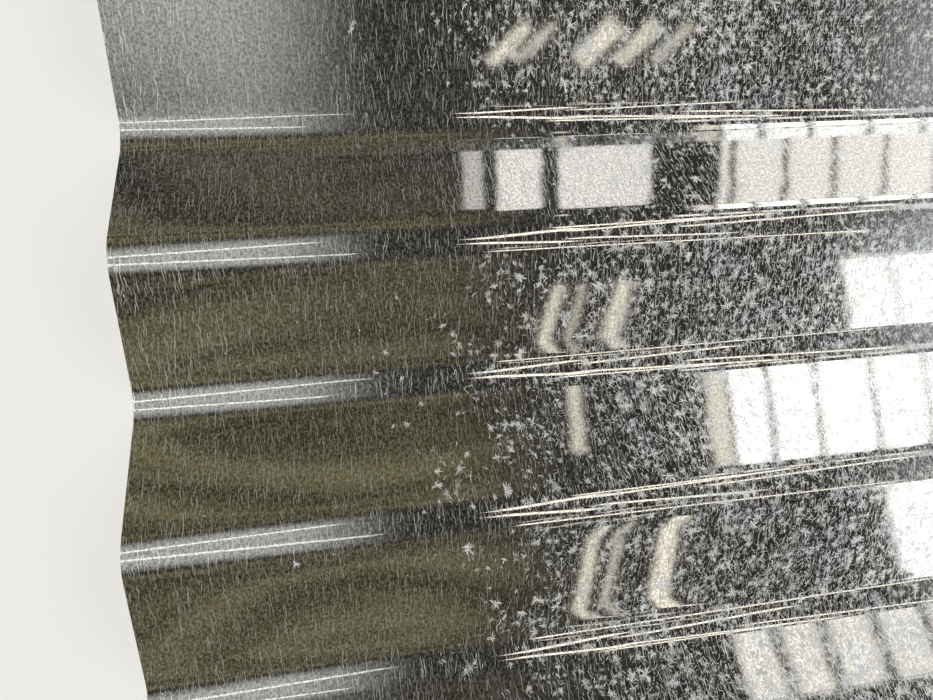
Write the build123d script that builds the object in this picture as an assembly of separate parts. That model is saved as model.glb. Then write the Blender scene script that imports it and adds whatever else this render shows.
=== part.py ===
from build123d import *

import math
import os

# Corrugated sheet of galvanised steel, rolled from one strip and cut square to length.
# The corrugations run along X and the waves follow each other along Y. The sheet lies on
# its valleys at Z = 0, with the middle of its length and of its width over the origin.
# All sizes are in millimetres and all angles in radians.

# Driving dimensions
sheet_length = 2500.0     # along the corrugations, between the two square cut ends
sheet_thickness = 0.4     # of the steel with its zinc
wave_pitch = 76.0         # from one crest to the next
wave_depth = 16.0         # from valley to crest, measured on one side of the steel
bend_radius = 12.0        # of every crest and valley, to the middle of the thickness
wave_count = 12           # crests, and as many valleys
edge_lip = 17.0           # flat run from the outermost bend to the slit edge

# Sizes that follow from them
half_pitch = wave_pitch / 2
half_depth = wave_depth / 2
half_thickness = sheet_thickness / 2
bend_count = 2 * wave_count
mid_height = half_thickness + half_depth


def flank_slope():
    """Return the angle between a flat flank and the ground.

    From a crest to the next valley the line turns down through one bend, runs along the
    flank and turns back through the other bend. It advances half_pitch and drops
    wave_depth, which holds for the slope a where
    half_pitch * sin(a) + (2 * bend_radius - wave_depth) * cos(a) = 2 * bend_radius.
    """
    both_radii = 2 * bend_radius
    rest = both_radii - wave_depth
    return math.atan2(half_pitch, rest) - math.acos(both_radii / math.hypot(half_pitch, rest))


slope = flank_slope()
# A fold is the corner where the straight lines of two flanks would meet, outside the bend.
fold_to_flat = bend_radius * math.tan(slope)
fold_half_depth = half_depth + bend_radius * (1 / math.cos(slope) - 1)


def is_crest(bend):
    """Return whether a bend, counted from the -Y edge, is a crest."""
    return bend % 2 == 0


def fold_point(bend, lift):
    """Return where a fold lies across the sheet, on the line raised squarely by lift."""
    across = (bend - (bend_count - 1) / 2) * half_pitch
    height = fold_half_depth if is_crest(bend) else -fold_half_depth
    return Vector(across, mid_height + height + lift / math.cos(slope))


def face_line(lift):
    """Draw the line of one face of the steel, from the -Y edge to the +Y edge.

    lift is half_thickness for the top face and -half_thickness for the underside. A face
    outside a bend has the larger radius and the face inside it the smaller one. The lip
    beyond the first crest points down and the lip beyond the last valley points up, so
    the last wave of one sheet nests under the first wave of the next.
    """
    folds = [fold_point(bend, lift) for bend in range(bend_count)]
    radii = [bend_radius + (lift if is_crest(bend) else -lift) for bend in range(bend_count)]
    # The raised line's fold is further along the flank than the square end of its lip.
    slip = lift * math.tan(slope)
    uphill = Vector(math.cos(slope), math.sin(slope))
    first_end = folds[0] - uphill * (fold_to_flat + edge_lip + slip)
    last_end = folds[-1] + uphill * (fold_to_flat + edge_lip - slip)
    return FilletPolyline(first_end, *folds, last_end, radius=radii)


def corrugated_sheet():
    """Return the whole sheet: its wave section, drawn once and run along its length."""
    with BuildPart() as sheet:
        with BuildSketch(Plane.YZ.offset(-sheet_length / 2)):
            with BuildLine():
                top = face_line(half_thickness)
                underside = face_line(-half_thickness)
                Line(underside @ 0, top @ 0)
                Line(underside @ 1, top @ 1)
            make_face()
        extrude(amount=sheet_length)
    return sheet.part


sheet = corrugated_sheet()
sheet.label = "corrugated_sheet"

flank_length = (half_pitch - 2 * bend_radius * math.sin(slope)) / math.cos(slope)
strip_width = (
    bend_count * 2 * slope * bend_radius
    + (bend_count - 1) * flank_length
    + 2 * edge_lip
)
box = sheet.bounding_box().size
print(f"flank slope {math.degrees(slope):.2f} degrees, flat flank {flank_length:.2f} mm")
print(f"strip before rolling {strip_width:.1f} mm wide")
print(f"sheet {box.X:.1f} x {box.Y:.1f} x {box.Z:.1f} mm, {sheet.volume:.0f} mm3")

os.makedirs("parts", exist_ok=True)
export_step(sheet, "parts/corrugated_sheet.step")
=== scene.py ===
"""The looks of a corrugated sheet of galvanised steel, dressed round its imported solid.

Sizes are in metres and angles in degrees unless a name says otherwise. The corrugations
run along X, the waves follow each other along Y, and the sheet lies on the floor at Z = 0.
"""

from __future__ import annotations

import logging
import math
from dataclasses import dataclass
from enum import Enum
from functools import reduce

import bmesh
import bpy
from mathutils import Euler, Matrix, Vector, noise


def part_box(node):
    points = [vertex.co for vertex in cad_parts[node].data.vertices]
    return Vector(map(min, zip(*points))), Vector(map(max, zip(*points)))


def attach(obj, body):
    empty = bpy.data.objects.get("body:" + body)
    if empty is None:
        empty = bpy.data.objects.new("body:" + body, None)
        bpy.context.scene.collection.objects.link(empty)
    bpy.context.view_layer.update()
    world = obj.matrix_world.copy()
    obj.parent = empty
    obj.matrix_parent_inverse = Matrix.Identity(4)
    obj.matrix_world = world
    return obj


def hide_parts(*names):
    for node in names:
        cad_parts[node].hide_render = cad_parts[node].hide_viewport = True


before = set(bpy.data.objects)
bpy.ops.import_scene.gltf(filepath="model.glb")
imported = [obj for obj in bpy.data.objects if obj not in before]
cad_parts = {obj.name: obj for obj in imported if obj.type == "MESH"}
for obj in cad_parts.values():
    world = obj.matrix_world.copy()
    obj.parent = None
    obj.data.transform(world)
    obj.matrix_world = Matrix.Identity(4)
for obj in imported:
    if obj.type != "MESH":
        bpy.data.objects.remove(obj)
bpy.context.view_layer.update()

LOG = logging.getLogger("corrugated_sheet")
MM = 0.001
SHEET_NODE = "corrugated_sheet"
IMAGE_WIDTH = 933
Colour = tuple[float, float, float]
BLACK: Colour = (0.0, 0.0, 0.0)


class Wire:
    """An output socket of a node tree that can be used in ordinary sums."""

    def __init__(self, board: NodeBoard, socket: bpy.types.NodeSocket) -> None:
        """Hold the socket and the board that it belongs to."""
        self.board = board
        self.socket = socket

    def maths(self, operation: str, *others: Wire | float) -> Wire:
        """Return the result of a Math node on this value and others."""
        values = dict(enumerate((self, *others)))
        return self.board.node("ShaderNodeMath", {"operation": operation}, values)

    def __add__(self, other: Wire | float) -> Wire:
        """Return the sum."""
        return self.maths("ADD", other)

    def __sub__(self, other: Wire | float) -> Wire:
        """Return the difference."""
        return self.maths("SUBTRACT", other)

    def __rsub__(self, other: float) -> Wire:
        """Return a number less this value."""
        values = {0: other, 1: self}
        return self.board.node("ShaderNodeMath", {"operation": "SUBTRACT"}, values)

    def __mul__(self, other: Wire | float) -> Wire:
        """Return the product."""
        return self.maths("MULTIPLY", other)

    def __truediv__(self, other: Wire | float) -> Wire:
        """Return the quotient."""
        return self.maths("DIVIDE", other)

    def __pow__(self, other: float) -> Wire:
        """Return this value raised to a power."""
        return self.maths("POWER", other)

    __radd__ = __add__
    __rmul__ = __mul__

    def larger(self, other: Wire | float) -> Wire:
        """Return the larger of this value and another."""
        return self.maths("MAXIMUM", other)

    def between(self, low: float, high: float) -> Wire:
        """Return this value, which goes from 0 to 1, spread from low to high."""
        return self * (high - low) + low

    def sibling(self, output: str) -> Wire:
        """Return another output of the node that this wire comes from."""
        return Wire(self.board, self.socket.node.outputs[output])

    def step(self, low: float, high: float) -> Wire:
        """Return a smooth step of this value.

        Args:
            low: The value at which the step is 0, which may be the larger one.
            high: The value at which the step is 1.

        Returns:
            The wire of the step.
        """
        start, end = (0.0, 1.0) if low < high else (1.0, 0.0)
        values = {"Value": self, "From Min": min(low, high), "From Max": max(low, high),
                  "To Min": start, "To Max": end}
        settings = {"interpolation_type": "SMOOTHSTEP"}
        return self.board.node("ShaderNodeMapRange", settings, values)


class NodeBoard:
    """A node tree that is being wired."""

    def __init__(self, tree: bpy.types.NodeTree) -> None:
        """Empty the tree and hold it."""
        self.tree = tree
        tree.nodes.clear()

    def node(self, kind: str, settings: dict | None = None, inputs: dict | None = None,
             output: int | str = 0) -> Wire:
        """Add a node.

        Args:
            kind: The node's type name.
            settings: The node's own settings, which are set before its sockets.
            inputs: Values or wires by the socket's name or place.
            output: The name or place of the output that is wanted.

        Returns:
            The wire of that output.
        """
        made = self.tree.nodes.new(kind)
        for name, value in (settings or {}).items():
            setattr(made, name, value)
        for name, value in (inputs or {}).items():
            if isinstance(value, Wire):
                self.tree.links.new(value.socket, made.inputs[name])
            else:
                made.inputs[name].default_value = value
        return Wire(self, made.outputs[output])

    def vector_maths(self, operation: str, *values: Wire | tuple) -> Wire:
        """Return the result of a Vector Math node on vectors, a number for LENGTH."""
        output = "Value" if operation == "LENGTH" else "Vector"
        settings = {"operation": operation}
        return self.node("ShaderNodeVectorMath", settings, dict(enumerate(values)), output)

    def vector(self, x: Wire | float, y: Wire | float, z: Wire | float = 0.0) -> Wire:
        """Return three values as one vector."""
        return self.node("ShaderNodeCombineXYZ", inputs={"X": x, "Y": y, "Z": z})

    def part(self, vector: Wire, axis: str) -> Wire:
        """Return one of a vector's three values, X, Y or Z."""
        return self.node("ShaderNodeSeparateXYZ", inputs={0: vector}, output=axis)

    def blend(self, share: Wire, first: Colour | Wire, second: Colour | Wire) -> Wire:
        """Return a blend of two colours.

        Args:
            share: The second colour's share, from 0 to 1.
            first: The first colour.
            second: The second colour.

        Returns:
            The wire of the blended colour.
        """
        made = self.tree.nodes.new("ShaderNodeMix")
        made.data_type = "RGBA"
        sockets = {socket.identifier: socket for socket in (*made.inputs, *made.outputs)}
        self.tree.links.new(share.socket, sockets["Factor_Float"])
        for name, value in (("A_Color", first), ("B_Color", second)):
            if isinstance(value, Wire):
                self.tree.links.new(value.socket, sockets[name])
            else:
                sockets[name].default_value = (*value, 1.0)
        return Wire(self, sockets["Result_Color"])

    def noise(self, place: Wire, size: float = 1.0, detail: float = 2.0,
              roughness: float = 0.5) -> Wire:
        """Return a noise value from 0 to 1 over the XY plane, with blots of about the size."""
        values = {"Vector": place, "Scale": 1 / size, "Detail": detail, "Roughness": roughness}
        return self.node("ShaderNodeTexNoise", {"noise_dimensions": "2D"}, values)

    def finish(self, shader: Wire, kind: str = "ShaderNodeOutputMaterial") -> None:
        """Wire a shader to the tree's output."""
        made = self.tree.nodes.new(kind)
        self.tree.links.new(shader.socket, made.inputs["Surface"])


class Slot(Enum):
    """The material slots of the sheet."""

    ZINC = 0
    CUT_EDGE = 1


def new_material(name: str) -> tuple[bpy.types.Material, NodeBoard]:
    """Return a new material.

    Args:
        name: The material's name.

    Returns:
        The material and the board of its nodes.
    """
    material = bpy.data.materials.new(name)
    material.use_nodes = True
    return material, NodeBoard(material.node_tree)


@dataclass(frozen=True)
class Crystals:
    """A scatter of zinc crystals, one at most in each cell of a random pattern.

    Sizes are in millimetres. share is the share of cells that hold a crystal. stretch is how
    much taller than wide a cell is. shift moves the whole scatter, so that no two scatters
    fall together, and shift_slant times as far along Y as along X. The strongest crystals
    have a strength of 1, the faintest that of faintest. In the scatters made from this one,
    a crystal's own size is the scatter's times a random factor between the two in sizes.
    """

    spacing: float
    share: float
    stretch: float = 1.0
    shift: float = 0.0
    shift_slant: float = 1.37
    faintest: float = 0.5

    def spread(self, board: NodeBoard, place: Wire) -> tuple[Wire, Wire, Wire, Wire]:
        """Scatter the crystals' middles.

        Args:
            board: The board of the material's nodes.
            place: The place on the sheet in millimetres.

        Returns:
            The way from the nearest middle, and three random values of that middle.
        """
        squeezed = (1.0, 1 / self.stretch, 1.0)
        shift = (self.shift, self.shift * self.shift_slant, 0.0)
        moved = board.vector_maths("MULTIPLY_ADD", place, squeezed, shift)
        values = {"Vector": moved, "Scale": 1 / self.spacing}
        settings = {"voronoi_dimensions": "2D"}
        cell = board.node("ShaderNodeTexVoronoi", settings, values, output="Position")
        spoke = board.vector_maths("SUBTRACT", moved, cell)
        if self.stretch != 1.0:
            spoke = board.vector_maths("MULTIPLY", spoke, (1.0, self.stretch, 1.0))
        luck = cell.sibling("Color")
        return spoke, board.part(luck, "X"), board.part(luck, "Y"), board.part(luck, "Z")

    def present(self, luck: Wire, more: Wire | float) -> Wire:
        """Return 1 in the cells that hold a crystal, from each cell's luck, and 0 in the rest."""
        return (luck + more).maths("GREATER_THAN", 1 - self.share)

    @staticmethod
    def redrawn(chance: Wire) -> Wire:
        """Return another random value from 0 to 1, made from a first one."""
        return (chance * 7).maths("FRACT")


@dataclass(frozen=True)
class Needles(Crystals):
    """Straight single crystals, each at its own angle.

    turn is how far one may lean either way from the line across the waves, in degrees.
    """

    width: float = 0.2
    length: float = 2.0
    turn: float = 90.0
    sizes: tuple[float, float] = (0.6, 1.4)

    def draw(self, board: NodeBoard, place: Wire, more: Wire | float = 0.0) -> Wire:
        """Return a value up to 1 in the middle of a crystal and 0 off it.

        Args:
            board: The board of the material's nodes.
            place: The place on the sheet in millimetres.
            more: How much the share of cells with a crystal grows, place by place.

        Returns:
            The wire of that value.
        """
        spoke, lean, luck, size = self.spread(board, place)
        angle = (lean - 0.5) * math.radians(2 * self.turn)
        turned = board.node("ShaderNodeVectorRotate", {"rotation_type": "Z_AXIS"},
                            {"Vector": spoke, "Angle": angle})
        breadth = self.redrawn(lean).between(*self.sizes)
        thin = (board.part(turned, "X") / breadth / (self.width / 2)) ** 2
        long = (board.part(turned, "Y") / (size.between(*self.sizes) * self.length / 2)) ** 2
        strength = self.present(luck, more) * size.between(self.faintest, 1.0)
        return (1 - thin - long).step(0.0, 0.5) * strength


@dataclass(frozen=True)
class Bursts(Crystals):
    """Frosted crystals that burst out from their middles in fine spikes of uneven length.

    The spikes come from a noise of the way that they point. spikes is how many blots of it
    there are across the circle of ways. Where the noise is under shortest, there is no spike,
    and above it the spike grows by steepness.
    """

    radius: float = 1.4
    spikes: float = 5.0
    shortest: float = 0.37
    steepness: float = 3.0
    sizes: tuple[float, float] = (0.4, 1.2)

    def draw(self, board: NodeBoard, place: Wire, more: Wire | float = 0.0) -> Wire:
        """Return a value up to 1 on a crystal's spikes and 0 off them.

        Args:
            board: The board of the material's nodes.
            place: The place on the sheet in millimetres.
            more: How much the share of cells with a crystal grows, place by place.

        Returns:
            The wire of that value.
        """
        spoke, lean, luck, size = self.spread(board, place)
        reach = board.vector_maths("LENGTH", spoke) / (size.between(*self.sizes) * self.radius)
        way = board.vector_maths("NORMALIZE", spoke)
        elsewhere = board.vector(lean * 40, luck * 60, size * 40)
        fan = board.vector_maths("MULTIPLY_ADD", way, (self.spikes,) * 3, elsewhere)
        spike = board.node("ShaderNodeTexNoise", {"noise_dimensions": "3D"},
                           {"Vector": fan, "Scale": 1.0, "Detail": 2.0, "Roughness": 0.6})
        shape = ((spike - self.shortest) * self.steepness - reach).step(0.0, 0.3)
        strength = self.redrawn(luck).between(self.faintest, 1.0)
        return shape * self.present(luck, more) * strength


@dataclass(frozen=True)
class Spangle:
    """Bright hot-dip zinc: a mirror under a felt of fine frosted crystals.

    Sizes are in millimetres. A cell is the size of a pattern's blots along the sheet and
    across it, and a shake is the size of a push and how far it goes.

    Every bare_pitch across the sheet, counted from bare_at, the crystals thin out. They do so
    too near the cut end at cut_end_at, as painted shade that leaves that end darker: wholly up to
    end_shade_from from the cut end, and less and less from there to end_shade_to. A thinning is
    how much of the cells' share that takes away, and an edge is the pair of values between which a
    noise turns from one look to the other.
    """

    mirror: Colour = (0.78, 0.78, 0.77)
    dull_mirror: Colour = (0.46, 0.46, 0.45)
    frost: Colour = (0.96, 0.97, 0.96)
    blue_frost: Colour = (0.86, 0.91, 0.98)
    mirror_roughness: float = 0.03
    bloom_roughness: float = 0.025
    frost_roughness: float = 0.40
    frost_spread: float = 0.80
    hair_spread: float = 0.20
    bloom_spread: float = 0.12
    bare_at: float = 38.0
    bare_pitch: float = 228.0
    cut_end_at: float = -1250.0
    end_shade_from: float = 45.0
    end_shade_to: float = 170.0
    felt_shake: tuple[float, float] = (0.9, 0.34)
    hair_shake: tuple[float, float] = (2.6, 0.9)
    cloud_size: float = 14.0
    cloud_thinning: float = 0.6
    bare_thinning: float = 0.36
    end_shade_thinning: float = 0.75
    bloom_edge: tuple[float, float] = (0.45, 0.64)
    blue_edge: tuple[float, float] = (0.50, 0.64)
    dull_edge: tuple[float, float] = (0.38, 0.62)
    speckle_size: float = 0.8
    streak_cell: tuple[float, float] = (0.30, 1.2)
    grain_cell: tuple[float, float] = (0.22, 0.40)
    grain_height: float = 0.0009
    forming_cell: tuple[float, float] = (260.0, 0.8)
    forming_height: float = 0.0012
    ripple_size: float = 9.0
    ripple_height: float = 0.012
    pimple_height: float = 0.03
    crystals: tuple[Crystals, ...] = (
        Bursts(spacing=3.4, share=0.62, radius=3.0, spikes=3.4, shift=7.0),
        Bursts(spacing=1.9, share=0.66, radius=1.7, spikes=2.6, shift=111.0),
        Needles(spacing=1.2, share=0.62, width=0.17, length=1.9, turn=50, shift=41.0),
        Needles(spacing=0.8, share=0.50, width=0.14, length=1.1, shift=83.0),
    )
    hairs: tuple[Needles, ...] = (
        Needles(spacing=1.3, share=0.60, stretch=4.0, shift=301.0, width=0.18, length=5.5, turn=7),
        Needles(spacing=0.8, share=0.55, stretch=3.0, shift=347.0, width=0.15, length=3.0, turn=14),
        Needles(spacing=34.0, share=0.45, shift=5.0, width=0.20, length=4.5),
    )
    pimples: Needles = Needles(spacing=3.2, share=0.10, shift=19.0, width=0.30, length=0.30)

    def place(self, board: NodeBoard) -> Wire:
        """Return the place on the sheet, seen from above, in millimetres."""
        spot = board.node("ShaderNodeTexCoord", output="Object")
        return board.vector_maths("MULTIPLY", spot, (1 / MM, 1 / MM, 0.0))

    def shaken(self, board: NodeBoard, place: Wire, size: float, amount: float) -> Wire:
        """Return the place pushed about by a smooth noise of a size, so that lines bend."""
        push = board.node("ShaderNodeTexNoise", {"noise_dimensions": "2D"},
                          {"Vector": place, "Scale": 1 / size, "Detail": 1.0}, output="Color")
        return board.vector_maths("MULTIPLY_ADD", push, (amount, amount, 0.0), place)

    def stretched(self, board: NodeBoard, place: Wire, along: float, across: float) -> Wire:
        """Return the place measured in one length along X and another along Y."""
        return board.vector_maths("MULTIPLY", place, (1 / along, 1 / across, 1.0))

    def relief(self, board: NodeBoard, place: Wire) -> Wire:
        """Raise the zinc's skin in its grain, rolling lines, ripples and pimples.

        Args:
            board: The board of the material's nodes.
            place: The place on the sheet in millimetres.

        Returns:
            The wire of the skin's normal.
        """
        grain = board.noise(self.stretched(board, place, *self.grain_cell), detail=1.0)
        forming = board.noise(self.stretched(board, place, *self.forming_cell), detail=2.0)
        ripple = board.noise(place, self.ripple_size, detail=1.0)
        height = (grain * self.grain_height + forming * self.forming_height
                  + ripple * self.ripple_height
                  + self.pimples.draw(board, place) * self.pimple_height)
        values = {"Strength": 1.0, "Distance": MM, "Height": height}
        return board.node("ShaderNodeBump", inputs=values, output="Normal")

    def material(self) -> bpy.types.Material:
        """Wire the finish.

        Returns:
            The material.
        """
        material, board = new_material("bright_zinc")
        place = self.place(board)
        crooked = self.shaken(board, place, *self.felt_shake)
        wandering = self.shaken(board, place, *self.hair_shake)

        turn = (board.part(place, "Y") - self.bare_at) * (math.tau / self.bare_pitch)
        bare = turn.maths("COSINE").larger(0.0) ** 4
        # Painted shade: the crystals thin out near the cut end, which leaves more dark mirror
        # there; the same mask also makes the bloom stronger there.
        end_shade_mask = (board.part(place, "X") - self.cut_end_at).step(self.end_shade_to, self.end_shade_from)
        clouds = board.noise(place, self.cloud_size, detail=2.0)
        more = ((clouds - 0.5) * self.cloud_thinning - bare * self.bare_thinning
                - end_shade_mask * self.end_shade_thinning)

        felt = reduce(Wire.larger, (kind.draw(board, crooked, more) for kind in self.crystals))
        hairs = reduce(Wire.larger, (kind.draw(board, wandering) for kind in self.hairs))
        streaky = board.noise(self.stretched(board, crooked, *self.streak_cell), roughness=0.7)
        speckle = board.noise(place, self.speckle_size, detail=3.0, roughness=0.75)
        bloom = (streaky * 0.6 + speckle * 0.4).step(*self.bloom_edge) * end_shade_mask.between(0.5, 1.0)

        frost = board.blend(clouds.step(*self.blue_edge), self.frost, self.blue_frost)
        tone = board.blend(speckle.step(*self.dull_edge), self.dull_mirror, self.mirror)
        tone = board.blend(bloom.larger(hairs), tone, self.frost)
        tone = board.blend(felt, tone, frost)
        skin = bloom * self.bloom_roughness + self.mirror_roughness
        rough = skin.larger((hairs * 0.9).larger(felt) * self.frost_roughness)
        spread = (felt * self.frost_spread).larger(hairs * self.hair_spread)
        spread = spread.larger(bloom * self.bloom_spread)
        shader = board.node("ShaderNodeBsdfPrincipled", inputs={
            "Base Color": tone, "Metallic": 1 - spread, "Roughness": rough,
            "Normal": self.relief(board, place)})
        board.finish(shader)
        return material


@dataclass(frozen=True)
class ShearedSteel:
    """The bare steel of a sheared edge, finely torn and smeared with zinc."""

    tone: Colour = (0.78, 0.77, 0.75)
    torn_shade: float = 0.7
    roughness: float = 0.32
    roughness_range: float = 0.2
    grain_size: float = 0.3 * MM

    def material(self) -> bpy.types.Material:
        """Wire the finish.

        Returns:
            The material.
        """
        material, board = new_material("sheared_steel")
        spot = board.node("ShaderNodeTexCoord", output="Object")
        values = {"Vector": spot, "Scale": 1 / self.grain_size, "Detail": 3.0}
        grain = board.node("ShaderNodeTexNoise", inputs=values)
        tone = board.blend(grain, tuple(self.torn_shade * c for c in self.tone), self.tone)
        rough = self.roughness + (grain - 0.5) * self.roughness_range
        shader = board.node("ShaderNodeBsdfPrincipled", inputs={
            "Base Color": tone, "Metallic": 1.0, "Roughness": rough})
        board.finish(shader)
        return material


@dataclass
class CorrugatedSheet:
    """The rolled sheet: straight flanks joined by round bends, with two cut ends and two lips.

    The steps are the pieces that a bend, a flank and the length are cut into. A ripple is
    ripple_height high, ripple_length long and ripple_width wide. A slow one lies over it,
    slow_height times as high, and slow_along and slow_across times as dense. Both die away
    over calm_edge to the slit edges. An edge is sharp where its faces meet at more than
    crease degrees.
    """

    pitch: float = 76 * MM
    depth: float = 16 * MM
    bend_radius: float = 12 * MM
    thickness: float = 0.4 * MM
    waves: int = 12
    bend_steps: int = 12
    flank_steps: int = 8
    length_steps: int = 80
    ripple_height: float = 0.05 * MM
    ripple_length: float = 85 * MM
    ripple_width: float = 30 * MM
    slow_height: float = 1.5
    slow_along: float = 0.27
    slow_across: float = 0.6
    calm_edge: float = 12 * MM
    crease: float = 50.0

    def __post_init__(self) -> None:
        """Work out the flank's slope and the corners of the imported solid."""
        self.low, self.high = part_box(SHEET_NODE)
        half_pitch, both_radii = self.pitch / 2, 2 * self.bend_radius
        rest = both_radii - self.depth
        reach = math.hypot(half_pitch, rest)
        self.slope = math.atan2(half_pitch, rest) - math.acos(both_radii / reach)
        self.mid_height = (self.thickness + self.depth) / 2
        self.fold_height = self.depth / 2 + self.bend_radius * (1 / math.cos(self.slope) - 1)

    def bend_place(self, bend: int) -> float:
        """Return where a bend lies along Y. The first, 0, is a crest at the -Y edge."""
        return (bend - (2 * self.waves - 1) / 2) * self.pitch / 2

    def fold_line(self) -> list[Vector]:
        """Find the folds, where the straight lines of two flanks would meet outside a bend.

        Returns:
            The folds of the middle of the steel at its -X end, between the ends of the lips.
        """
        folds = []
        for bend in range(2 * self.waves):
            height = self.fold_height if bend % 2 == 0 else -self.fold_height
            folds.append(Vector((self.low.x, self.bend_place(bend), self.mid_height + height)))
        uphill = Vector((0, math.cos(self.slope), math.sin(self.slope)))
        square = Vector((0, -math.sin(self.slope), math.cos(self.slope))) * self.thickness / 2
        lip = (self.high.y - abs(square.y) - folds[-1].y) / uphill.y
        return [folds[0] - uphill * lip, *folds, folds[-1] + uphill * lip]

    def folded_strip(self) -> bmesh.types.BMesh:
        """Fold the middle of the steel.

        Returns:
            A strip without thickness, with round bends, cut up finely enough for the ripples.
        """
        mesh = bmesh.new()
        corners = [mesh.verts.new(point) for point in self.fold_line()]
        edges = [mesh.edges.new(pair) for pair in zip(corners, corners[1:])]
        drawn = bmesh.ops.extrude_edge_only(mesh, edges=edges)["geom"]
        moved = [item for item in drawn if isinstance(item, bmesh.types.BMVert)]
        bmesh.ops.translate(mesh, verts=moved, vec=(self.high.x - self.low.x, 0, 0))
        folds = [edge for edge in mesh.edges
                 if self.is_lengthwise(edge) and len(edge.link_faces) == 2]
        bmesh.ops.bevel(mesh, geom=folds, offset=self.bend_radius * math.tan(self.slope),
                        offset_type="OFFSET", segments=self.bend_steps, profile=0.5,
                        affect="EDGES", clamp_overlap=False, material=-1)
        bend_length = self.bend_radius * self.slope * 2
        flanks = [edge for edge in mesh.edges
                  if not self.is_lengthwise(edge) and edge.calc_length() > bend_length]
        bmesh.ops.subdivide_edges(mesh, edges=flanks, cuts=self.flank_steps - 1,
                                  use_grid_fill=True)
        lines = [edge for edge in mesh.edges if self.is_lengthwise(edge)]
        bmesh.ops.subdivide_edges(mesh, edges=lines, cuts=self.length_steps - 1,
                                  use_grid_fill=True)
        return mesh

    @staticmethod
    def is_lengthwise(edge: bmesh.types.BMEdge) -> bool:
        """Return whether an edge runs along the corrugations."""
        run = edge.verts[1].co - edge.verts[0].co
        return abs(run.x) > 0.9 * run.length

    def is_cut(self, face: bmesh.types.BMFace) -> bool:
        """Return whether a face lies on a cut, where one side is the steel's thickness."""
        return min(edge.calc_length() for edge in face.edges) < 1.2 * self.thickness

    def ripples(self, mesh: bmesh.types.BMesh) -> None:
        """Push the steel in and out a little, as rolling and handling leave it.

        Args:
            mesh: The strip without thickness.
        """
        mesh.normal_update()
        for vert in mesh.verts:
            along, across = vert.co.x / self.ripple_length, vert.co.y / self.ripple_width
            wave = noise.noise(Vector((along, across, 0.5)))
            slow = noise.noise(Vector((along * self.slow_along, across * self.slow_across, 7.5)))
            fade = min(1.0, (self.high.y - abs(vert.co.y)) / self.calm_edge)
            vert.co += vert.normal * self.ripple_height * fade * (wave + self.slow_height * slow)

    def build(self) -> bpy.types.Object:
        """Fold the sheet, give it its thickness, and mark its cut faces and sharp edges.

        Returns:
            The finished sheet's object, at the origin.
        """
        mesh = self.folded_strip()
        self.ripples(mesh)
        bmesh.ops.recalc_face_normals(mesh, faces=mesh.faces)
        top = list(mesh.faces)
        if sum(face.normal.z for face in top) < 0:
            bmesh.ops.reverse_faces(mesh, faces=top)
        mesh.normal_update()
        for vert in mesh.verts:
            vert.co += vert.normal * self.thickness / 2
        middle = mesh.faces[:] + mesh.edges[:] + mesh.verts[:]
        bmesh.ops.solidify(mesh, geom=middle, thickness=self.thickness)
        for face in mesh.faces:
            face.smooth = True
            face.material_index = (Slot.CUT_EDGE if self.is_cut(face) else Slot.ZINC).value
        mesh.normal_update()
        for edge in mesh.edges:
            if len(edge.link_faces) == 2 and edge.calc_face_angle() > math.radians(self.crease):
                edge.smooth = False
        data = bpy.data.meshes.new("galvanised_sheet")
        mesh.to_mesh(data)
        mesh.free()
        piece = bpy.data.objects.new("galvanised_sheet", data)
        bpy.context.scene.collection.objects.link(piece)
        return piece

    def place(self) -> bpy.types.Object:
        """Build and dress the sheet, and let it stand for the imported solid.

        Returns:
            The sheet's object.
        """
        piece = self.build()
        piece.data.materials.append(Spangle().material())
        piece.data.materials.append(ShearedSteel().material())
        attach(piece, "root")
        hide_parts(SHEET_NODE)
        LOG.info("%s: %d faces", piece.name, len(piece.data.polygons))
        return piece


class Tint(Enum):
    """The colours of the lamps."""

    NEARLY_WHITE = (1.0, 0.99, 0.97)
    WARM = (1.0, 0.97, 0.92)
    WARMER = (1.0, 0.97, 0.90)
    PALE_CREAM = (1.0, 0.93, 0.79)
    YELLOWED = (1.0, 0.93, 0.78)
    CREAM = (1.0, 0.92, 0.76)


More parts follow.
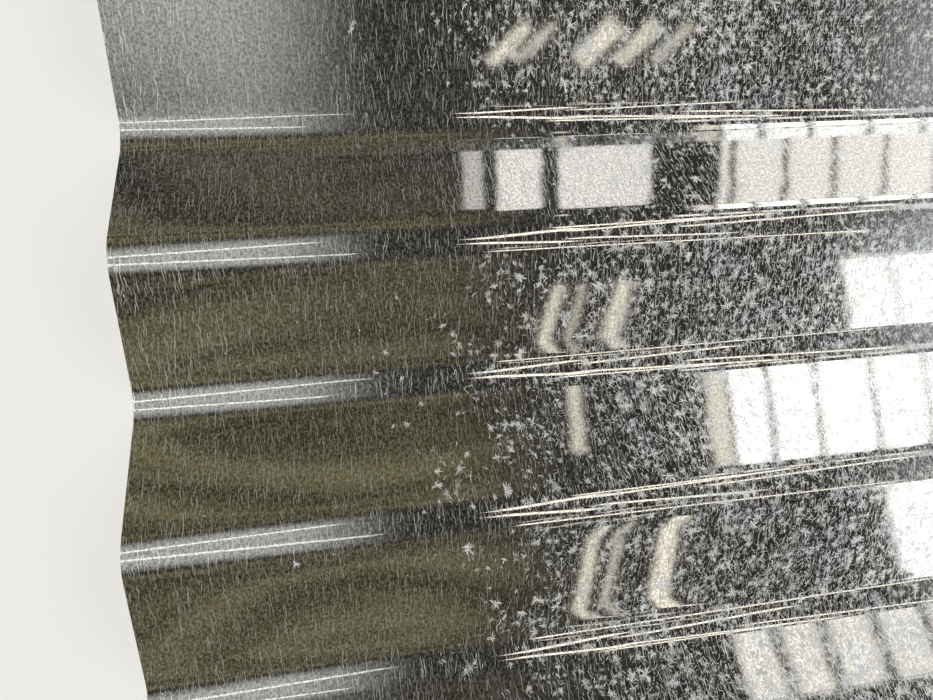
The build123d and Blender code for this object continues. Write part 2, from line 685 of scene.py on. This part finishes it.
@dataclass(frozen=True)
class Softbox:
    """A rectangular lamp far off beside or over the sheet, which the camera doesn't see.

    around is the angle round the sheet's length at which it hangs, 0 at the level of the +Y
    side, 90 overhead and 180 at the level of the -Y side. span is the angle that it fills.
    The lamp reaches from start to end along the sheet, both counted from its cut end and in
    units of the lamp's distance, which is so great that every part of the sheet and of the
    floor has the same light. lean is the angle by which the lamp is turned in its own plane,
    away from the sheet's length.
    """

    name: str
    around: float
    span: float
    start: float
    end: float
    radiance: float
    distance: float = 60.0
    tint: Tint = Tint.WARM
    lean: float = 0.0

    @classmethod
    def leaning(cls, name: str, around: float, span: float, middle: float, length: float,
                radiance: float, tint: Tint, lean: float) -> Softbox:
        """Return a lamp given by its middle and its length instead of its start and end."""
        start, end = middle - length / 2, middle + length / 2
        return cls(name, around, span, start, end, radiance, tint=tint, lean=lean)

    def place(self, middle: Vector) -> bpy.types.Object:
        """Hang the lamp.

        Args:
            middle: The point at the cut end that the lamp's place is measured from.

        Returns:
            The lamp's object.
        """
        angle = math.radians(self.around)
        outward = Vector((0, math.cos(angle), math.sin(angle)))
        lamp = bpy.data.lights.new(self.name, "AREA")
        lamp.shape = "RECTANGLE"
        lamp.size = (self.end - self.start) * self.distance
        lamp.size_y = 2 * self.distance * math.tan(math.radians(self.span / 2))
        lamp.energy = self.radiance * math.pi * lamp.size * lamp.size_y
        lamp.color = self.tint.value
        hung = bpy.data.objects.new(self.name, lamp)
        along = Vector(((self.start + self.end) / 2 * self.distance, 0, 0))
        sideways = outward.cross(Vector((1, 0, 0)))
        turn = Matrix((Vector((1, 0, 0)), sideways, outward)).transposed().to_4x4()
        turn = turn @ Matrix.Rotation(math.radians(self.lean), 4, "Z")
        hung.matrix_world = Matrix.Translation(middle + along + outward * self.distance) @ turn
        hung.visible_camera = False
        bpy.context.scene.collection.objects.link(hung)
        return hung


def bank(name: str, around: float, span: float, edges: tuple[float, ...], gap: float,
         radiance: float, tint: Tint = Tint.NEARLY_WHITE) -> tuple[Softbox, ...]:
    """Return the panes of one window as softboxes side by side.

    Args:
        name: The name that the panes share.
        around: The angle round the sheet's length at which they hang.
        span: The angle that they fill.
        edges: Where one pane ends and the next starts, along the sheet.
        gap: The width of the bar between two panes.
        radiance: The panes' brightness.
        tint: The panes' colour.

    Returns:
        The softboxes, numbered from 1.
    """
    return tuple(
        Softbox(f"{name}_{number}", around, span, low + gap / 2, high - gap / 2, radiance,
                tint=tint)
        for number, (low, high) in enumerate(zip(edges, edges[1:]), 1))


def strips(name: str, around: float, span: float, lean: float,
           places: tuple[tuple[float, float, float], ...]) -> tuple[Softbox, ...]:
    """Return narrow upright softboxes one after the other.

    Args:
        name: The name that they share.
        around: The angle round the sheet's length at which they hang.
        span: The angle that they fill.
        lean: The angle by which they are turned.
        places: The middle, the width and the brightness of each.

    Returns:
        The softboxes, numbered from 1.
    """
    return tuple(
        Softbox.leaning(f"{name}_{number}", around, span, middle, width, radiance,
                        Tint.CREAM, lean)
        for number, (middle, width, radiance) in enumerate(places, 1))


def roof_lines(name: str, span: float, radiance: float,
               places: tuple[tuple[float, float, float, float], ...]) -> tuple[Softbox, ...]:
    """Return thin softboxes overhead, which only the bends mirror.

    Args:
        name: The name that they share.
        span: The angle that they fill.
        radiance: Their brightness.
        places: The angle round the sheet's length, the middle, the length and the lean of each.

    Returns:
        The softboxes, numbered from 1.
    """
    return tuple(
        Softbox.leaning(f"{name}_{number}", around, span, middle, length, radiance,
                        Tint.PALE_CREAM, lean)
        for number, (around, middle, length, lean) in enumerate(places, 1))


@dataclass
class Studio:
    """A pale floor, a dim room and softboxes.

    The lamps' places are measured from a point inward of the sheet's cut end. The floor fades
    into the backdrop from cove_start to cove_end. The room's tones are what the metal mirrors
    in each part of the room; in a pair they are the tones between which that part varies.
    """

    inward: float = 60 * MM
    backdrop: Colour = (0.83, 0.83, 0.82)
    paint: Colour = (0.80, 0.795, 0.78)
    glow: Colour = (0.185, 0.185, 0.185)
    floor_size: float = 400.0
    cove_start: float = 3.0
    cove_end: float = 22.0
    dark_tone: Colour = (0.030, 0.027, 0.022)
    skirting_tone: Colour = (0.098, 0.088, 0.062)
    wall_tones: tuple[Colour, Colour] = ((0.058, 0.052, 0.021), (0.178, 0.158, 0.077))
    ceiling_tone: Colour = (0.48, 0.475, 0.455)
    far_tones: tuple[Colour, Colour] = ((1.02, 1.05, 1.08), (0.38, 0.39, 0.40))
    near_tones: tuple[Colour, Colour] = ((0.36, 0.36, 0.35), (0.98, 0.97, 0.94))
    skylight_tone: Colour = (2.3, 2.35, 2.4)
    softboxes: tuple[Softbox, ...] = (
        *bank("side_bank_low", 19, 13, (0.545, 0.57, 0.655, 0.735, 0.82, 0.91, 1.01), 0.010, 1.2,
              tint=Tint.WARMER),
        *bank("side_bank_high", 36, 18, (0.545, 0.612, 0.691, 0.788, 0.88, 0.98), 0.014, 2.4),
        *bank("side_bank_top", 58.5, 5, (0.47, 0.54, 0.61, 0.69, 0.77, 0.86), 0.018, 1.3,
              tint=Tint.WARMER),
        Softbox("side_bank_edge", 36, 18, 0.512, 0.543, 1.05, tint=Tint.YELLOWED),
        Softbox("side_low_1", 17, 8, 0.167, 0.195, 0.65),
        Softbox("side_low_2", 17, 10, 0.215, 0.279, 1.1),
        Softbox("side_low_3", 17, 11, 0.305, 0.442, 1.1),
        Softbox("side_slit", 37.5, 6, 0.298, 0.318, 0.95, tint=Tint.YELLOWED),
        *bank("far_bank", 146, 30, (0.77, 0.86, 0.97), 0.008, 1.9),
        *strips("far_strip_low", 154, 11, -22, (
            (0.297, 0.018, 1.1), (0.334, 0.011, 0.8), (0.411, 0.025, 1.45))),
        *strips("far_strip_high", 135.5, 8, -22, (
            (0.276, 0.016, 1.1), (0.312, 0.011, 0.7), (0.376, 0.024, 1.2))),
        *strips("high_slit", 113, 4, -48, (
            (0.235, 0.016, 1.2), (0.270, 0.012, 0.8), (0.358, 0.026, 1.3),
            (0.415, 0.020, 1.1), (0.465, 0.012, 0.9))),
        *roof_lines("roof_line", 2.8, 1.9, (
            (80, 0.255, 0.26, 54), (72, 0.48, 0.42, 40), (77, 0.66, 0.40, 34),
            (68.5, 0.42, 0.26, 14), (100, 0.25, 0.24, -52), (102, 0.45, 0.32, -40),
            (122.5, 0.50, 0.60, -8))),
        Softbox("overhead_1", 84, 2.6, -0.85, 0.00, 0.9, lean=26),
        Softbox("overhead_2", 94, 3.2, -0.85, 0.05, 0.8, lean=-24),
        Softbox("key", 107, 26, -2.20, -0.62, 12.0, tint=Tint.NEARLY_WHITE),
    )

    def floor(self) -> bpy.types.Object:
        """Lay the pale floor, which keeps the sheet's shadow and fades into the backdrop.

        Camera rays and mirrored rays see it glow a little. To other rays it is plain paint, so
        that the glow adds no light to the sheet.

        Returns:
            The floor's object.
        """
        mesh = bmesh.new()
        bmesh.ops.create_grid(mesh, x_segments=1, y_segments=1, size=self.floor_size / 2)
        data = bpy.data.meshes.new("studio_floor")
        mesh.to_mesh(data)
        mesh.free()
        floor = bpy.data.objects.new("studio_floor", data)
        bpy.context.scene.collection.objects.link(floor)
        material, board = new_material("pale_floor")
        spot = board.node("ShaderNodeTexCoord", output="Object")
        away = board.vector_maths("LENGTH", spot).step(self.cove_start, self.cove_end)
        seen = board.node("ShaderNodeLightPath", output="Is Camera Ray")
        seen = seen.larger(seen.sibling("Is Glossy Ray"))
        paint = board.blend(seen * away, self.paint, BLACK)
        glow = board.blend(seen, BLACK, board.blend(away, self.glow, self.backdrop))
        board.finish(board.node("ShaderNodeBsdfPrincipled", inputs={
            "Base Color": paint, "Roughness": 1.0, "Specular IOR Level": 0.0,
            "Emission Color": glow, "Emission Strength": 1.0}))
        data.materials.append(material)
        return floor

    def room(self) -> None:
        """Make the world: a room with dim sides and bright ends for the metal to reflect.

        The camera sees it in the plain colour of the backdrop.
        """
        world = bpy.data.worlds.new("studio_room")
        bpy.context.scene.world = world
        world.use_nodes = True
        board = NodeBoard(world.node_tree)
        way = board.node("ShaderNodeTexCoord", output="Generated")
        ahead, side, height = (board.part(way, axis) for axis in "XYZ")

        # The walls run along the sheet, from the skirting up, and end a little way ahead.
        near = ahead.step(0.30, 0.08)
        ribs = board.vector(ahead * 1.2, side * 22, height * 22)
        streaks = board.noise(ribs, detail=3.0, roughness=0.6)
        shade = side.step(0.72, 0.94) * 0.45
        shade = shade.larger(side.step(-0.65, -0.80) * height.step(0.40, 0.55) * 0.40)
        wall = height.step(0.20, 0.42) * height.step(0.92, 0.62) * near * (1 - shade)
        skirting = height.step(0.40, 0.22) * near * streaks.step(0.40, 0.70)
        light = board.blend(skirting, self.dark_tone, self.skirting_tone)
        light = board.blend(wall, light, board.blend(streaks.step(0.36, 0.64), *self.wall_tones))

        # The ceiling lies over the cut end and behind it.
        ceiling = height.step(0.80, 0.95) * ahead.step(0.07, -0.14)
        light = board.blend(ceiling, light, self.ceiling_tone)

        # The far end, with a skylight, and the near end close the room.
        slant = (side * 0.8 - height * 0.5).step(-0.80, 0.15)
        tilt = side / height.larger(0.02)
        skylight = tilt.step(0.26, 0.32) * tilt.step(0.60, 0.54)
        far_end = board.blend(skylight, board.blend(slant, *self.far_tones), self.skylight_tone)
        light = board.blend(ahead.step(0.57, 0.80), light, far_end)
        near_end = board.blend(slant, *self.near_tones)
        light = board.blend(ahead.step(-0.34, -0.70), light, near_end)

        seen = board.node("ShaderNodeLightPath", output="Is Camera Ray")
        colour = board.blend(seen, light, self.backdrop)
        shader = board.node("ShaderNodeBackground", inputs={"Color": colour, "Strength": 1.0})
        board.finish(shader, "ShaderNodeOutputWorld")

    def build(self, sheet: CorrugatedSheet) -> None:
        """Set up the whole studio.

        Args:
            sheet: The sheet that stands in it.
        """
        self.floor()
        self.room()
        middle = Vector((sheet.low.x + self.inward, 0, 0))
        for softbox in self.softboxes:
            softbox.place(middle)
        LOG.info("studio: %d softboxes", len(self.softboxes))


@dataclass
class CloseCamera:
    """A camera close over the cut end, as for the photograph.

    Its place is measured from the cut end and from the top of one crest, and its turns are
    those round X, Y and Z. focal_pixels is the focal length in pixels of the image.
    """

    focal_pixels: float = 715.0
    sensor_width: float = 36.0
    nearest: float = 10 * MM
    crest: int = 6
    inward: float = 59.7 * MM
    beside_crest: float = -51.6 * MM
    above_crest: float = 187.6 * MM
    tilt_across: float = 6.88
    tilt_along: float = -8.31
    turn: float = -5.64

    def place(self, sheet: CorrugatedSheet) -> bpy.types.Object:
        """Make the scene's camera.

        Args:
            sheet: The sheet that the camera looks at.

        Returns:
            The camera's object.
        """
        lens = bpy.data.cameras.new("close_camera")
        lens.sensor_width = self.sensor_width
        lens.lens = self.focal_pixels * self.sensor_width / IMAGE_WIDTH
        lens.clip_start = self.nearest
        camera = bpy.data.objects.new("close_camera", lens)
        camera.location = (sheet.low.x + self.inward,
                           sheet.bend_place(2 * self.crest) + self.beside_crest,
                           sheet.high.z + self.above_crest)
        turns = (self.tilt_across, self.tilt_along, self.turn)
        camera.rotation_euler = Euler([math.radians(angle) for angle in turns])
        bpy.context.scene.collection.objects.link(camera)
        bpy.context.scene.camera = camera
        return camera


def main() -> None:
    """Build the sheet, the studio and the camera."""
    logging.basicConfig(level=logging.INFO)
    bpy.context.scene.view_settings.view_transform = "Standard"
    sheet = CorrugatedSheet()
    sheet.place()
    Studio().build(sheet)
    CloseCamera().place(sheet)


if __name__ == "__main__":
    main()
